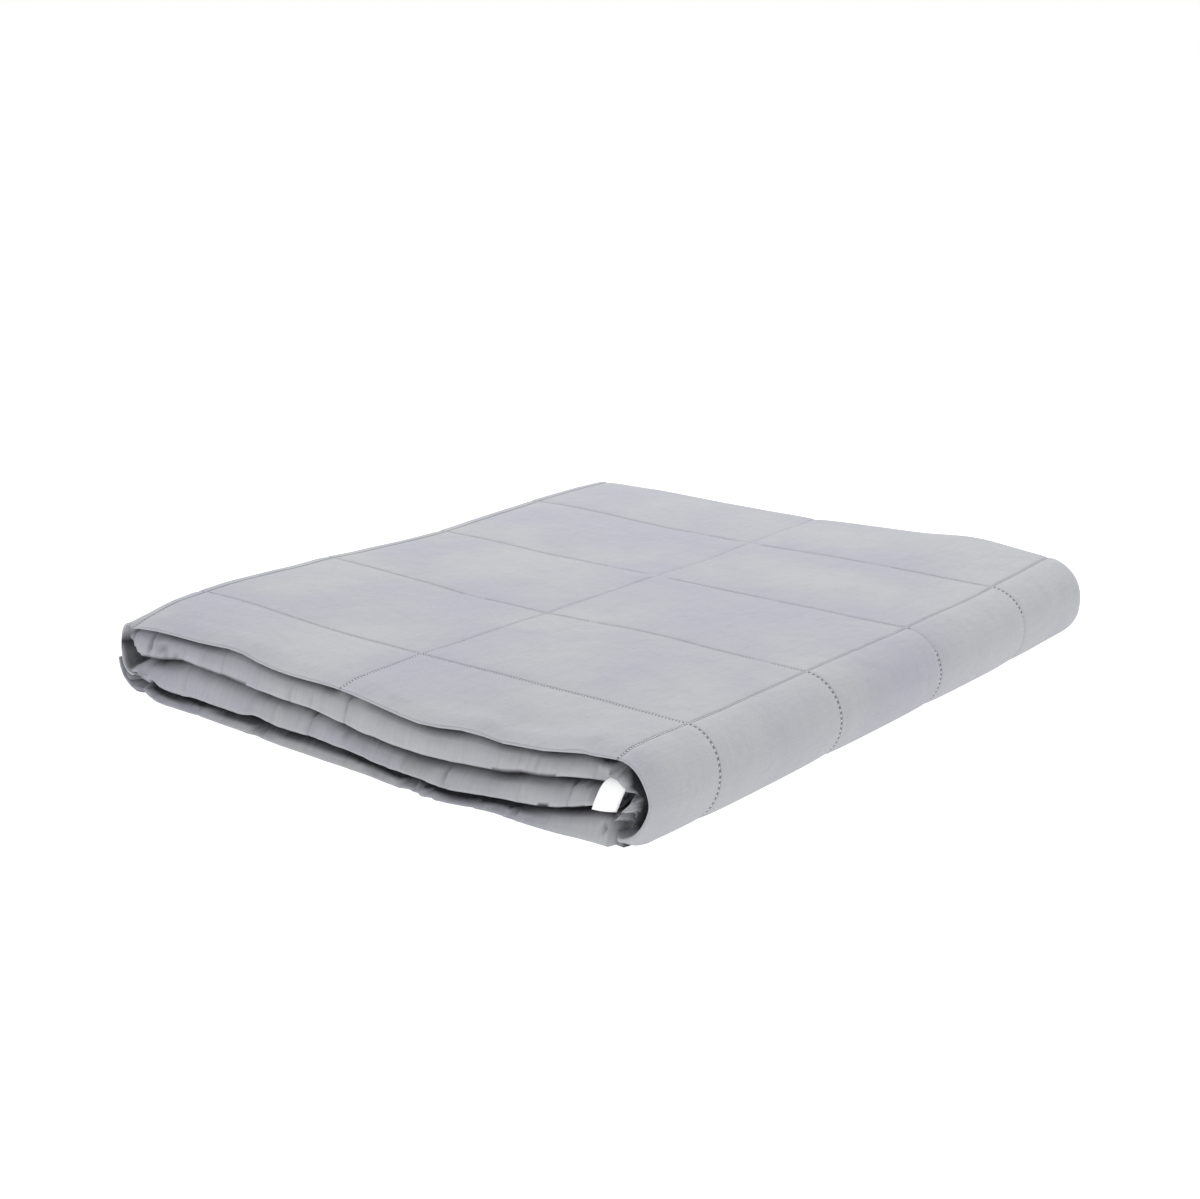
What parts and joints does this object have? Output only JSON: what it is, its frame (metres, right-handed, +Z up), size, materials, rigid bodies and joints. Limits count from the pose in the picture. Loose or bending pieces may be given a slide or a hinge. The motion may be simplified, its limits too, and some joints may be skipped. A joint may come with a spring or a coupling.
{
  "type": "folded weighted blanket",
  "caption": "Quilted weighted throw blanket in plain grey cotton, folded in thirds both ways into a flat stack with a rounded turn at one side.",
  "frame": {"origin": "centre of the folded stack's footprint, on the surface that it rests on", "axes": "+Z up, out of the top panel; the flap's front hem and the layered face look towards -Y; the wide round turn looks towards +X"},
  "size_m": [0.4672, 0.523, 0.0567],
  "materials": {
    "grey_cotton": "matte plain-weave cotton, quilted with thread of the same grey",
    "label_white": "matte white woven tape, blank"
  },
  "bodies": {
    "root": {"blanket": "grey_cotton", "label": "label_white"}
  },
  "joints": []
}
